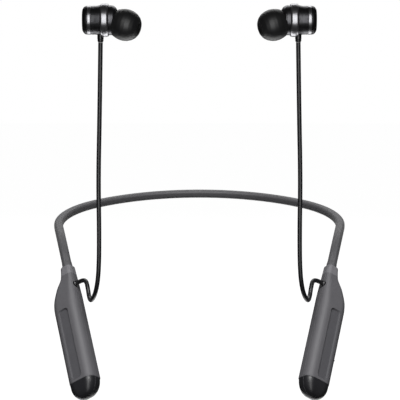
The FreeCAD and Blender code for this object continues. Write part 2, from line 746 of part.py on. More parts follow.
r0, rb = bud_radius, bud_bore
for side in ("left", "right"):
    at = bud_place(side)

    def lathe(name, pts, spot=None):
        body = new_body(side + name)
        turn(body, pts)
        body.Placement = at if spot is None else at.multiply(spot)
        return done(side + name, body)

    lathe("_back_cap", [(0, 0), (0, 4.4), (0.5, 5.2), (1.2, r0 - 0.1), (1.95, r0), (1.95, 3.6), (1.0, 3.6), (1.0, 0)])
    lathe("_back_magnet", [(1.02, 0), (1.02, 3.5), (2.6, 3.5), (2.6, 0)])
    lathe("_rear_ring", [(1.95, rb), (1.95, r0 + 0.05), (3.5, r0 + 0.05), (3.5, rb)])
    lathe("_driver", [(7.7, 0), (7.7, 3.8), (10.2, 3.8), (10.2, 4.95), (11.1, 4.95), (11.1, 4.3), (10.8, 3.4), (10.8, 0)])
    lathe("_diaphragm", [(11.3, 0), (11.3, 2.2), (11.12, 2.6), (11.3, 3.6), (11.12, 4.4), (11.12, 4.9), (11.22, 4.9), (11.32, 4.4), (11.5, 3.6), (11.3, 2.7), (11.6, 2.2), (11.9, 0)])

    boot_hole = Part.makeCylinder(boot_radius.v + 0.02, 3.0, Vector(boot_at.v, 0, -8.0), Vector(0, 0, 1))
    for name, pts in (
        ("_barrel", [(3.5, rb), (3.5, r0), (5.2, r0), (7.4, r0 + 0.4), (7.4, rb)]),
        ("_bulge_ring", [(7.4, rb), (7.4, bud_bulge - 0.4), (7.9, bud_bulge), (10.2, bud_bulge), (10.7, bud_bulge - 0.4), (10.7, rb)]),
    ):
        tube = new_body(side + name + "_blank")
        turn(tube, pts)
        # the boot enters through a hole across both rings
        hole = body_hole = doc.addObject("Part::Cylinder", side + name + "_hole")
        hole.Radius = boot_radius.v + 0.02
        hole.setExpression("Radius", boot_radius.t + " + 0.02")
        hole.Height = 4.0
        hole.Placement = Placement(Vector(boot_at.v, 0, -9.0), Rotation())
        cut = doc.addObject("Part::Cut", side + name)
        cut.Base, cut.Tool = tube, hole
        cut.Placement = at
        done(side + name, cut)

    boot = new_body(side + "_boot")
    turn(boot, [(0, -5.15), (boot_radius, -5.15), (boot_radius, -8.3), (1.0, -8.95), (0, -8.95)], "V_Axis", "XZ_Plane")
    boot.Placement = at.multiply(Placement(Vector(boot_at.v, 0, 0), Rotation()))
    done(side + "_boot", boot)

    # front housing: a turned nose with a hollow behind it and an angled nozzle
    nose = new_body(side + "_nose_blank")
    turn(nose, [(10.7, 0), (10.7, 6.1), (12.3, 6.1), (13.3, 5.5), (14.0, 4.6), (14.6, 3.4), (14.8, 0)])
    spout = new_body(side + "_spout_blank")
    turn(spout, [(2.6, 0), (2.6, nozzle_radius), (10.5, nozzle_radius), (10.5, 0)])
    spout.Placement = on_nozzle(side)
    bore = new_body(side + "_sound_bore")
    turn(bore, [(1.0, 0), (1.0, 1.7), (11.0, 1.7), (11.0, 0)])
    bore.Placement = on_nozzle(side)
    hollow = new_body(side + "_nose_hollow")
    turn(hollow, [(9.5, 0), (9.5, rb), (11.9, rb), (13.1, 3.6), (13.1, 0)])
    fuse = doc.addObject("Part::MultiFuse", side + "_housing_fuse")
    fuse.Shapes = [nose, spout]
    tool = doc.addObject("Part::MultiFuse", side + "_housing_tool")
    tool.Shapes = [bore, hollow]
    housing = doc.addObject("Part::Cut", side + "_front_housing")
    housing.Base, housing.Tool = fuse, tool
    housing.Placement = at
    done(side + "_front_housing", housing)

    lathe("_nozzle_mesh", [(10.1, 0), (10.1, 1.66), (10.3, 1.66), (10.3, 0)], on_nozzle(side))
    tr = tip_radius
    lathe("_ear_tip", [
        (14.3, 2.0), (14.4, 2.5), (14.0, 3.4), (13.2, 4.55), (12.0, 5.5), (10.4, 6.2), (8.8, tr), (7.2, tr - 0.1), (5.6, tr - 0.5), (4.4, 5.65),
        (4.4, 5.15), (5.7, 5.4), (7.2, 5.8), (8.8, 5.85), (10.4, 5.5), (11.6, 4.8), (12.1, 4.0), (12.1, 3.5),
        (6.3, 3.5), (6.3, nozzle_radius + 0.05), (10.7, nozzle_radius + 0.05), (10.9, 2.0),
    ], on_nozzle(side))

# --- earbud cables: straight runs joined by tangent arcs ---------------------------
gland_face = left_pod.multVec(Vector(6.9, -split, -10.0))
boot_low = Vector(boot_x, boot_y, bud_z - 9.0)
route = [
    gland_face,
    gland_face + inner * 2.8,
    gland_face + Vector(4.2, -3.2, 1.5),
    gland_face + Vector(5.1, -6.6, -0.7),
    gland_face + Vector(6.0, -10.4, -4.9),
    gland_face + Vector(7.2, -15.3, -5.6),
    gland_face + Vector(9.5, -20.4, -1.2),
    gland_face + Vector(10.9, -22.2, 7.5),
    Vector(-41.45, -112.2, -5.5),
    Vector(-41.75, -111.4, 15.0),
    Vector(-41.0, -111.75, 44.0),
    boot_low,
]


def tube_path(points):
    """Runs between the points, joined by arcs as large as the shorter run allows."""
    runs = [(b - a).Length for a, b in zip(points, points[1:])]
    edges, at, radii, length = [], points[0], [], 0.0
    for i in range(1, len(points) - 1):
        a, b = unit(points[i] - points[i - 1]), unit(points[i + 1] - points[i])
        cut = 0.45 * min(runs[i - 1], runs[i])
        p, r = points[i] - a * cut, points[i] + b * cut
        turned = math.acos(max(-1.0, min(1.0, a.dot(b))))
        radius = cut / math.tan(turned / 2)
        edges.append(Part.LineSegment(at, p).toShape())
        edges.append(arc_between(p, a, r))
        length += (p - at).Length + radius * turned
        radii.append(round(radius, 1))
        at = r
    edges.append(Part.LineSegment(at, points[-1]).toShape())
    length += (points[-1] - at).Length
    return edges, radii, length


edges, radii, cable_length = tube_path(route)
cable = sweep(edges, circle(route[0], inner, cable_dia.v / 2))
wanted = math.pi * (cable_dia.v / 2) ** 2 * cable_length
print("cable length %.1f, bend radii %s, volume %.1f of %.1f" % (cable_length, radii, cable.Volume, wanted))
if abs(cable.Volume - wanted) > 0.01 * wanted:
    raise RuntimeError("the cable's tube isn't its section times its length")
mirrored("right_cable", plain("left_cable", cable))

# --- check every object, then write each sub-part -----------------------------------
doc.recompute()
bad = [o.Name for o in doc.Objects if "Invalid" in o.State or "Error" in o.State]
if bad:
    raise RuntimeError("failed objects: %s" % bad)
for old in os.listdir("parts"):
    if old.endswith(".step") and old[:-5] not in finished:
        os.remove(os.path.join("parts", old))
for name, obj in sorted(finished.items()):
    shape = obj.Shape
    if shape.isNull() or not shape.isValid() or not shape.Solids or shape.Volume <= 0:
        raise RuntimeError("bad shape: " + name)
    shape.exportStep("parts/%s.step" % name)
    bb = shape.BoundBox
    print("%-22s solids %d volume %9.3f  x %.2f..%.2f y %.2f..%.2f z %.2f..%.2f" % (
        name, len(shape.Solids), shape.Volume, bb.XMin, bb.XMax, bb.YMin, bb.YMax, bb.ZMin, bb.ZMax))
print(len(finished), "sub-parts")
print("points", {
    "left_flex": [round(c, 3) for c in band_point(flex_turn.v)],
    "rise": [round(c, 5) for c in rise],
    "inner": [round(c, 5) for c in inner],
    "front": [round(c, 5) for c in front],
    "pod_down": [round(c, 5) for c in pod_down],
    "rocker": [round(c, 3) for c in right_pod.multVec(Vector(4.7, 0, rocker_z))],
    "flap": [round(c, 3) for c in right_pod.multVec(Vector(6.05, 0, flap_hi))],
    "right_y": [round(c, 5) for c in right_pod.Rotation.multVec(Vector(0, 1, 0))],
    "left_nozzle": [round(c, 5) for c in nozzle_way("left")],
    "left_face": [round(c, 3) for c in bud_place("left").multVec(Vector(0, 0, 0))],
    "usb_mouth": [round(c, 3) for c in right_pod.multVec(Vector(6.35, 0, usb_z))],
    "pod_top": [round(c, 3) for c in pod_top],
})
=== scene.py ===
import json
import math

import bpy
import numpy as np
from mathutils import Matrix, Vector

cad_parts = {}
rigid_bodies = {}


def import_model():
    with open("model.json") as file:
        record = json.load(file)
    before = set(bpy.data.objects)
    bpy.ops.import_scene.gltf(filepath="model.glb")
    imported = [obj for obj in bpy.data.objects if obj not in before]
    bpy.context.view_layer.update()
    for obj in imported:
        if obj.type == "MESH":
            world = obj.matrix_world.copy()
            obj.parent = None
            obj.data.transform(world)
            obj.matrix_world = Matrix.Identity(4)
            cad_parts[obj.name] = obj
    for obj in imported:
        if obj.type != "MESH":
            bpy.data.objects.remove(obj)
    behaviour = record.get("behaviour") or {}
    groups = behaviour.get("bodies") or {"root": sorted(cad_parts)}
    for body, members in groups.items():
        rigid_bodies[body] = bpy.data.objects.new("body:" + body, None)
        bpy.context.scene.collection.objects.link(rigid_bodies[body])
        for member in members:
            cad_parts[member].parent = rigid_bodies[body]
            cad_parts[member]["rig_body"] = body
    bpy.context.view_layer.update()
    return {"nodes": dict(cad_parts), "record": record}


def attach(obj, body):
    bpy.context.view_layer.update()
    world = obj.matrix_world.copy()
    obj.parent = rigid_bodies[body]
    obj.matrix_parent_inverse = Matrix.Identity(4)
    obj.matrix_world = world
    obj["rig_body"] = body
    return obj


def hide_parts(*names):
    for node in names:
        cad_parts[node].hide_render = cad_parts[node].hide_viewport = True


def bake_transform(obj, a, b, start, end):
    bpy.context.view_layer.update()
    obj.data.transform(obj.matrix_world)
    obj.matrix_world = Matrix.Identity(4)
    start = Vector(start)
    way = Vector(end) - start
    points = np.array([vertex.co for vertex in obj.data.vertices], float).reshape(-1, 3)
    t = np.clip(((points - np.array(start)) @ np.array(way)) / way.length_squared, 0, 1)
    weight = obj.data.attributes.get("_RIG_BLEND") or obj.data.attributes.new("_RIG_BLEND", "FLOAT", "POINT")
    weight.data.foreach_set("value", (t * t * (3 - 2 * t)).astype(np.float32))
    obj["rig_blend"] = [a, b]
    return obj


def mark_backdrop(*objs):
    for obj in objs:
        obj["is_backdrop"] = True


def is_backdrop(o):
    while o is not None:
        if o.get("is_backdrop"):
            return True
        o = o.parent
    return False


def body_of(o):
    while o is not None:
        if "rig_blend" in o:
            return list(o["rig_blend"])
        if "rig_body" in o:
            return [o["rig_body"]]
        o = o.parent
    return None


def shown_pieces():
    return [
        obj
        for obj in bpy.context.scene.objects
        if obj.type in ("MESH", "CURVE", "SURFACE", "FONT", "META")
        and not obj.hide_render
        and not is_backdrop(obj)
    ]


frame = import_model()
NODES = frame["nodes"]
MM = 0.001


def V(*c):
    return np.array(c, float)


def unit(v):
    v = np.array(v, float)
    return v / np.linalg.norm(v)


# --- camera ---------------------------------------------------------------------
cam_data = bpy.data.cameras.new("camera")
cam = bpy.data.objects.new("camera", cam_data)
bpy.context.scene.collection.objects.link(cam)
cam_data.sensor_width = 36.0
cam_data.lens = 143.3
cam_data.shift_x = 0.0015
cam.location = (0, -0.7673, 0.0642)
cam.rotation_euler = (math.radians(85), 0, 0)
cam_data.clip_start, cam_data.clip_end = 0.01, 50
bpy.context.scene.camera = cam


# --- materials ------------------------------------------------------------------
def surface(name, color, rough=0.5, metal=0.0, spec=0.5, grain=0.0, grain_size=0.0003, vary=0.12, vary_size=0.006,
            rough_vary=0.06, coat=0.0, coat_rough=0.2, sheen=0.0, rings=None, ring_depth=0.0, ring_axis=0,
            trans=0.0, lay=None, wear=0.0, emit=0.0):
    """Principled surface with colour mottling, roughness change and a fine bump."""
    m = bpy.data.materials.new(name)
    m.use_nodes = True
    nt = m.node_tree
    p = nt.nodes["Principled BSDF"]
    p.inputs["Metallic"].default_value = metal
    p.inputs["Specular IOR Level"].default_value = spec
    p.inputs["Coat Weight"].default_value = coat
    p.inputs["Coat Roughness"].default_value = coat_rough
    p.inputs["Sheen Weight"].default_value = sheen
    p.inputs["Sheen Roughness"].default_value = 0.5
    p.inputs["Transmission Weight"].default_value = trans

    def node(kind, **inputs):
        n = nt.nodes.new(kind)
        for k, v in inputs.items():
            n.inputs[k.replace("_", " ")].default_value = v
        return n

    where = node("ShaderNodeTexCoord").outputs["Object"]
    cloud = node("ShaderNodeTexNoise", Scale=1.0 / vary_size, Detail=4.0, Roughness=0.6)
    nt.links.new(where, cloud.inputs["Vector"])
    tone = nt.nodes.new("ShaderNodeMix")
    tone.data_type = "RGBA"
    low = [c * (1 - vary) for c in color] + [1]
    high = [min(1, c * (1 + vary)) for c in color] + [1]
    tone.inputs[6].default_value = low
    tone.inputs[7].default_value = high
    nt.links.new(cloud.outputs["Fac"], tone.inputs[0])
    base = tone.outputs[2]
    if wear:
        # edges that hands rub: paler where the surface turns sharply outwards
        geo = node("ShaderNodeNewGeometry")
        ramp = node("ShaderNodeValToRGB")
        ramp.color_ramp.elements[0].position = 0.52
        ramp.color_ramp.elements[1].position = 0.62
        ramp.color_ramp.elements[1].color = (wear, wear, wear, 1)
        nt.links.new(geo.outputs["Pointiness"], ramp.inputs["Fac"])
        worn = nt.nodes.new("ShaderNodeMix")
        worn.data_type = "RGBA"
        worn.inputs[7].default_value = [min(1, c * 2.2 + 0.02) for c in color] + [1]
        nt.links.new(ramp.outputs["Color"], worn.inputs[0])
        nt.links.new(base, worn.inputs[6])
        base = worn.outputs[2]
    nt.links.new(base, p.inputs["Base Color"])
    change = node("ShaderNodeMapRange")
    change.inputs["To Min"].default_value = max(0.02, rough - rough_vary)
    change.inputs["To Max"].default_value = min(1.0, rough + rough_vary)
    nt.links.new(cloud.outputs["Fac"], change.inputs["Value"])
    nt.links.new(change.outputs["Result"], p.inputs["Roughness"])
    normal = None
    if grain:
        fine = node("ShaderNodeTexNoise", Scale=1.0 / grain_size, Detail=3.0, Roughness=0.55)
        nt.links.new(where, fine.inputs["Vector"])
        b = node("ShaderNodeBump", Strength=grain, Distance=0.00006)
        nt.links.new(fine.outputs["Fac"], b.inputs["Height"])
        normal = b.outputs["Normal"]
    if rings:
        split = node("ShaderNodeSeparateXYZ")
        nt.links.new(where, split.inputs["Vector"])
        turn = nt.nodes.new("ShaderNodeMath")
        turn.operation = "MULTIPLY"
        turn.inputs[1].default_value = 2 * math.pi / rings
        nt.links.new(split.outputs[ring_axis], turn.inputs[0])
        wave = nt.nodes.new("ShaderNodeMath")
        wave.operation = "SINE"
        nt.links.new(turn.outputs[0], wave.inputs[0])
        b = node("ShaderNodeBump", Strength=0.6, Distance=ring_depth)
        nt.links.new(wave.outputs[0], b.inputs["Height"])
        if normal is not None:
            nt.links.new(normal, b.inputs["Normal"])
        normal = b.outputs["Normal"]
    if normal is not None:
        nt.links.new(normal, p.inputs["Normal"])
        if coat:
            nt.links.new(normal, p.inputs["Coat Normal"])
    if emit:
        p.inputs["Emission Color"].default_value = (*color, 1)
        p.inputs["Emission Strength"].default_value = emit
    return m


LOOK = {
    "band_rubber": surface("band_rubber_look", (0.058, 0.057, 0.061), 0.55, spec=0.4, grain=0.35, grain_size=0.00035, vary_size=0.004, sheen=0.12),
    "pod_plastic": surface("pod_plastic_look", (0.095, 0.093, 0.100), 0.56, spec=0.35, grain=0.4, grain_size=0.00028, vary=0.07, vary_size=0.005),
    "key_plastic": surface("key_plastic_look", (0.028, 0.028, 0.03), 0.42, spec=0.4, grain=0.3, grain_size=0.0003, vary_size=0.003),
    "cable_jacket": surface("cable_jacket_look", (0.008, 0.008, 0.009), 0.34, spec=0.8, grain=0.06, grain_size=0.0004, vary_size=0.004),
    "tip_silicone": surface("tip_silicone_look", (0.012, 0.012, 0.013), 0.46, spec=0.9, grain=0.15, grain_size=0.0006, vary_size=0.003, sheen=0.05),
    "gunmetal": surface("gunmetal_look", (0.16, 0.16, 0.17), 0.33, metal=1.0, grain=0.1, grain_size=0.0002, vary_size=0.003, rings=0.00042, ring_depth=0.00002),
    "bright_metal": surface("bright_metal_look", (0.50, 0.50, 0.52), 0.32, metal=1.0, grain=0.06, grain_size=0.0002, vary=0.04, vary_size=0.003, rings=0.0002, ring_depth=0.000004),
    "cap_metal": surface("cap_metal_look", (0.035, 0.035, 0.038), 0.34, metal=0.8, grain=0.15, grain_size=0.0003, vary_size=0.003),
    "spring_steel": surface("spring_steel_look", (0.5, 0.5, 0.52), 0.32, metal=1.0, grain=0.15, grain_size=0.0002, vary_size=0.002),
    "copper": surface("copper_look", (0.72, 0.40, 0.24), 0.35, metal=1.0, grain=0.1, vary_size=0.002),
    "board": surface("board_look", (0.015, 0.11, 0.05), 0.4, spec=0.5, grain=0.2, vary=0.25, vary_size=0.002, coat=0.3),
    "cell_wrap": surface("cell_wrap_look", (0.5, 0.52, 0.56), 0.28, metal=0.4, grain=0.3, grain_size=0.0012, vary_size=0.004),
    "foam": surface("foam_look", (0.06, 0.06, 0.065), 0.95, spec=0.2, grain=1.0, grain_size=0.0005, vary=0.3, vary_size=0.0008),
    "magnet": surface("magnet_look", (0.6, 0.6, 0.62), 0.14, metal=1.0, grain=0.05, vary=0.05, vary_size=0.003),
    "diaphragm_film": surface("diaphragm_film_look", (0.62, 0.55, 0.38), 0.25, spec=0.5, grain=0.1, vary_size=0.002, coat=0.4),
    "light_pipe": surface("light_pipe_look", (0.75, 0.77, 0.8), 0.2, spec=0.5, grain=0.05, vary=0.03, vary_size=0.002, trans=0.4),
}
# painted shade: a darker copy of the pod plastic for the recess floor, standing in for the shade inside the recess
RECESS_PAINTED_SHADE = surface("pod_recess_painted_shade_look", (0.062, 0.061, 0.067), 0.62, spec=0.3, grain=0.45, grain_size=0.00028, vary=0.07, vary_size=0.005)
# painted light: a lighter copy of the pod plastic for the collar at the top, standing in for light falling on its
# upward-facing faces
COLLAR_PAINTED_LIGHT = surface("pod_collar_painted_light_look", (0.150, 0.147, 0.157), 0.6, spec=0.3, grain=0.4, grain_size=0.00028, vary=0.07, vary_size=0.004)
DOME = surface("pod_dome_look", (0.014, 0.014, 0.016), 0.36, spec=0.5, grain=0.12, grain_size=0.0004, vary=0.08, vary_size=0.005)
SLOT = {s["node"]: s["material_slot"] for s in frame["record"]["subparts"]}
for n, o in NODES.items():
    o.data.materials.clear()
    o.data.materials.append(LOOK.get(SLOT[n], LOOK["gunmetal"]))


# --- mesh helpers ---------------------------------------------------------------
def build(name, verts, faces, look, side="left", sharp=40, mats=None, picks=None, mirror=True):
    """Mesh from millimetre points of the left side; the right side is its mirror image."""
    v = np.array(verts, float) * MM
    if side == "right" and mirror:
        v = v * V(-1, 1, 1)
        faces = [tuple(reversed(f)) for f in faces]
    me = bpy.data.meshes.new(name)
    me.from_pydata([tuple(p) for p in v], [], [tuple(int(i) for i in f) for f in faces])
    me.validate()
    me.polygons.foreach_set("use_smooth", [True] * len(me.polygons))
    for m in mats or [look]:
        me.materials.append(m)
    if picks is not None and len(picks) == len(me.polygons):
        me.polygons.foreach_set("material_index", picks)
    me.set_sharp_from_angle(angle=math.radians(sharp))
    me.update()
    o = bpy.data.objects.new(name, me)
    bpy.context.scene.collection.objects.link(o)
    return o


def lattice(rows, closed=True):
    """Faces of a grid of rows; each row is a ring if closed."""
    r, c = rows
    out = []
    for i in range(r - 1):
        for j in range(c if closed else c - 1):
            k = (j + 1) % c
            out.append((i * c + j, i * c + k, (i + 1) * c + k, (i + 1) * c + j))
    return out


def flip_faces(faces):
    return [tuple(reversed(f)) for f in faces]


def soften(profile, default=0.15, steps=5):
    """Rounds the corners of a profile of (t, r) or (t, r, radius) points."""
    pts = [(p[0], p[1], p[2] if len(p) > 2 else default) for p in profile]
    out = [pts[0][:2]]
    for a, b, c in zip(pts, pts[1:], pts[2:]):
        A, B, C = V(*a[:2]), V(*b[:2]), V(*c[:2])
        la, lc = np.linalg.norm(A - B), np.linalg.norm(C - B)
        if b[2] <= 0 or la < 1e-6 or lc < 1e-6:
            out.append(tuple(B))
            continue
        ua, uc = (A - B) / la, (C - B) / lc
        half = math.acos(max(-1, min(1, float(ua @ uc)))) / 2
        if half > math.pi / 2 - 0.02:
            out.append(tuple(B))
            continue
        cut = min(b[2] / math.tan(half), 0.45 * la, 0.45 * lc)
        for k in range(steps + 1):
            t = k / steps
            out.append(tuple((B + ua * cut) * (1 - t) ** 2 + 2 * B * t * (1 - t) + (B + uc * cut) * t * t))
    out.append(pts[-1][:2])
    return out


def lathe(name, profile, origin, axis, look, side="left", n=96, default=0.15, sharp=40, closed=False):
    """Turns a (distance along axis, radius) profile about an axis of the left side."""
    prof = soften(list(profile), default)
    x = unit(axis)
    y = unit(np.cross(x, V(0, 0, 1)) if abs(x[2]) < 0.9 else np.cross(x, V(0, 1, 0)))
    z = np.cross(x, y)
    verts = []
    for t, r in prof:
        for j in range(n):
            a = 2 * math.pi * j / n
            verts.append(V(*origin) + x * t + (y * math.cos(a) + z * math.sin(a)) * max(r, 1e-4))
    faces = lattice((len(prof), n))
    if closed:
        m = len(prof) - 1
        faces += [(m * n + j, m * n + (j + 1) % n, (j + 1) % n, j) for j in range(n)]
    else:
        faces.append(tuple(reversed(range(n))))
        faces.append(tuple((len(prof) - 1) * n + j for j in range(n)))
    return build(name, verts, faces, look, side, sharp)


def rounded_block(name, place, lo, hi, r, look, side="left", n=14, shape=None):
    """Block with rounded edges in its own frame; shape() can move its points."""
    lo, hi = V(*lo), V(*hi)
    c, h = (lo + hi) / 2, (hi - lo) / 2
    r = min(r, h.min() * 0.98)
    verts, faces, index = [], [], {}

    def at(p):
        key = tuple(np.round(p, 6))
        if key not in index:
            inner = np.clip(p * h, -(h - r), h - r)
            d = p * h - inner
            q = inner + unit(d) * r if np.linalg.norm(d) > 1e-9 else p * h
            q = c + q
            if shape is not None:
                q = shape(q)
            index[key] = len(verts)
            verts.append(place(q))
        return index[key]

    for ax in range(3):
        u, w = [i for i in range(3) if i != ax]
        for s in (-1, 1):
            steps = []
            for k in (u, w):
                e = (h[k] - r) / h[k]
                edge = np.linspace(e, 1, 5)
                m = max(3, int(2 * (h[k] - r) / 0.35))
                mid = np.linspace(-e, e, min(m, 60))
                steps.append(np.unique(np.round(np.concatenate([-edge[::-1], mid, edge]), 6)))
            for i in range(len(steps[0]) - 1):
                for j in range(len(steps[1]) - 1):
                    quad = []
                    for a, b in ((i, j), (i + 1, j), (i + 1, j + 1), (i, j + 1)):
                        p = V(0, 0, 0)
                        p[ax], p[u], p[w] = s, steps[0][a], steps[1][b]
                        quad.append(at(p))
                    if (s > 0) != (ax == 1):
                        faces.append(tuple(quad))
                    else:
                        faces.append(tuple(reversed(quad)))
    return build(name, verts, faces, look, side, 60)


def smooth_table(rows, z):
    """Monotone cubic through rows of (z, values...), at z."""
    t = -np.array([r[0] for r in rows], float)
    out = []
    for c in range(1, len(rows[0])):
        v = np.array([r[c] for r in rows], float)
        h = np.diff(t)
        d = np.diff(v) / h
        m = np.zeros(len(v))
        for i in range(1, len(v) - 1):
            if d[i - 1] * d[i] > 0:
                w1, w2 = 2 * h[i] + h[i - 1], h[i] + 2 * h[i - 1]
                m[i] = (w1 + w2) / (w1 / d[i - 1] + w2 / d[i])
        m[0] = d[0] * 0.6
        q = min(max(-z, t[0]), t[-1])
        i = min(int(np.searchsorted(t, q, "right")) - 1, len(h) - 1)
        s = (q - t[i]) / h[i]
        out.append((2 * s**3 - 3 * s**2 + 1) * v[i] + (s**3 - 2 * s**2 + s) * h[i] * m[i]
                   + (-2 * s**3 + 3 * s**2) * v[i + 1] + (s**3 - s**2) * h[i] * m[i + 1])
    return out


# --- layout, as in the CAD, in millimetres ----------------------------------------
tilt = math.radians(11)
FORE, RISE, REAR = V(0, -math.cos(tilt), -math.sin(tilt)), V(0, -math.sin(tilt), math.cos(tilt)), V(0, 2.0, 0)


def band_point(deg):
    a, b = math.radians(40), math.radians(deg)
    if b <= a:
        x, v = 76 * math.sin(b), 76 * (1 - math.cos(b))
    else:
        x = 76 * math.sin(a) + 42 * (math.sin(b) - math.sin(a))
        v = 76 * (1 - math.cos(a)) + 42 * (math.cos(a) - math.cos(b))
    return REAR + V(-x, 0, 0) + FORE * v


def band_way(deg):
    return V(-math.cos(math.radians(deg)), 0, 0) + FORE * math.sin(math.radians(deg))


DOWN = unit((0.226, -0.592, -0.774))
CORNER, ARM = band_point(98.6), unit(band_way(98.6))
TURN = math.acos(float(ARM @ DOWN))
ARM_SIDE = unit(DOWN - ARM * float(DOWN @ ARM))
BEND = CORNER + ARM * 7.8


def arm_point(b):
    return BEND + ARM * 36.2 * math.sin(b) + ARM_SIDE * 36.2 * (1 - math.cos(b))


ARM_END = arm_point(TURN)
_across = unit(V(1, 0, 0) - DOWN * DOWN[0])
_front = np.cross(DOWN, _across)
_roll = math.radians(32)
INNER = _across * math.cos(_roll) + _front * math.sin(_roll)
FRONT = _front * math.cos(_roll) - _across * math.sin(_roll)
TOP = ARM_END - INNER * 3.4


def pod(a, b, z):
    return TOP + INNER * a + FRONT * b - DOWN * z


FLEX = band_point(70)


# --- cables: first, since they set the room round the object ---------------------
ROUTE = [
    (-52.597, -89.825, -30.818), (-50.284, -90.677, -29.490), (-48.397, -93.025, -29.318), (-47.497, -96.425, -31.518),
    (-46.597, -100.225, -35.718), (-45.397, -105.125, -36.418), (-43.097, -110.225, -32.018), (-41.697, -112.025, -23.318),
    (-41.45, -112.2, -5.5), (-41.75, -111.4, 15.0), (-41.0, -111.75, 44.0), (-40.5, -112.0, 71.7),
]
cables = {}
for side, sx in (("left", 1), ("right", -1)):
    cu = bpy.data.curves.new(side + "_cable_line", "CURVE")
    cu.dimensions = "3D"
    sp = cu.splines.new("NURBS")
    sp.points.add(len(ROUTE) - 1)
    for p, (x, y, z) in zip(sp.points, ROUTE):
        p.co = (x * sx * MM, y * MM, z * MM, 1)
    sp.order_u = 3
    sp.use_endpoint_u = True
    sp.resolution_u = 16
    sp.use_smooth = True
    cu.bevel_depth = 0.00095
    cu.bevel_resolution = 8
    cu.use_fill_caps = True
    o = bpy.data.objects.new(side + "_cable_skin", cu)
    bpy.context.scene.collection.objects.link(o)
    cu.materials.append(LOOK["cable_jacket"])
    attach(o, side + "_arm")
    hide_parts(side + "_cable")
    cables[side] = o


# --- band: one half per side, bending across its flex line ------------------------
def ring_points(wide, tall, r, n=64):
    """Rounded rectangle as n evenly spaced (u, v) points."""
    w, t = wide / 2, tall / 2
    r = min(r, w, t)
    segs = []
    for cx, cy, a0 in ((w - r, t - r, 0), (-(w - r), t - r, 90), (-(w - r), -(t - r), 180), (w - r, -(t - r), 270)):
        segs += [(cx + r * math.cos(math.radians(a0 + k * 9)), cy + r * math.sin(math.radians(a0 + k * 9))) for k in range(11)]
    p = np.array(segs + [segs[0]])
    s = np.concatenate([[0], np.cumsum(np.linalg.norm(np.diff(p, axis=0), axis=1))])
    q = np.linspace(0, s[-1], n, endpoint=False)
    return np.stack([np.interp(q, s, p[:, 0]), np.interp(q, s, p[:, 1])], 1)


def band_half(side):
    stops = []
    for d in np.linspace(0, 98.6, 150):
        c, w = band_point(d), unit(band_way(d))
        stops.append((c, unit(np.cross(w, RISE)), RISE, 0.0))
    for s in np.linspace(0, 7.8, 14)[1:]:
        stops.append((CORNER + ARM * s, unit(np.cross(ARM, RISE)), RISE, 0.0))
    normal = unit(np.cross(ARM, ARM_SIDE))
    side0, up0 = unit(np.cross(ARM, RISE)), RISE

    def spun(v, b):
        return v * math.cos(b) + np.cross(normal, v) * math.sin(b) + normal * float(normal @ v) * (1 - math.cos(b))

    for k in np.linspace(0, 1, 60)[1:]:
        b = TURN * k
        stops.append((arm_point(b), spun(side0, b), spun(up0, b), max(0.0, (k - 0.86) / 0.14)))
    for s in (0.3, 0.8):
        stops.append((ARM_END + DOWN * s, spun(side0, TURN), spun(up0, TURN), 1.0))
    verts = []
    n = 64
    for c, u, v, flare in stops:
        k = flare * flare * (3 - 2 * flare)
        for x, y in ring_points(4.0 + 0.35 * k, 3.6 + 0.55 * k, 1.3 + 0.2 * k, n):
            verts.append(c + u * x + v * y)
    faces = lattice((len(stops), n))
    faces.append(tuple((len(stops) - 1) * n + j for j in range(n)))
    faces = flip_faces(faces)
    o = build(side + "_band_skin", verts, faces, LOOK["band_rubber"], side, 60)
    sx = 1 if side == "left" else -1
    way = unit(band_way(70))
    a, b = (FLEX - way * 7) * MM, (FLEX + way * 7) * MM
    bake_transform(o, "rear_band", side + "_arm", start=(a[0] * sx, a[1], a[2]), end=(b[0] * sx, b[1], b[2]))
    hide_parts("rear_sleeve", side + "_arm_sleeve")
    return o


for side in ("left", "right"):
    band_half(side)

# --- pods -------------------------------------------------------------------------
L, HW, HD, SPLIT = 62.0, 6.3, 4.8, 1.2
BODY = [
    (0.0, 0.75, HW - 0.3, 2.7, 1.6), (-4.9, -0.1, HW - 0.2, 3.1, 1.9), (-10.1, -3.4, HW - 0.1, 3.9, 2.6),
    (-16.4, -(HW - 0.4), HW, HD - 0.2, 3.3), (-20.0, -HW, HW, HD, 3.6), (-54.5, -HW, HW, HD, 3.6),
]
DOME_AT = -54.5
P = 2.3
DOME_LEAN = 0.8


def pod_rows():
    zs = [(-0.6 * (1 - math.cos(t)), 0.6 * (1 - math.sin(t))) for t in np.linspace(0, math.pi / 2, 6)]
    rows = [(z, inset, 0.0) for z, inset in zs]
    for z in np.concatenate([np.arange(-0.9, -19.6, -0.35), np.arange(-19.8, -24.0, -0.16), np.arange(-24.2, -51.0, -0.6),
                             np.arange(-51.2, DOME_AT, -0.16)]):
        rows.append((float(z), 0.0, 0.0))
    rows.append((DOME_AT + 0.07, 0.0, 0.0))
    for t in np.linspace(0, math.pi / 2, 44):
        rows.append((DOME_AT, 0.0, float(t)))
    return rows


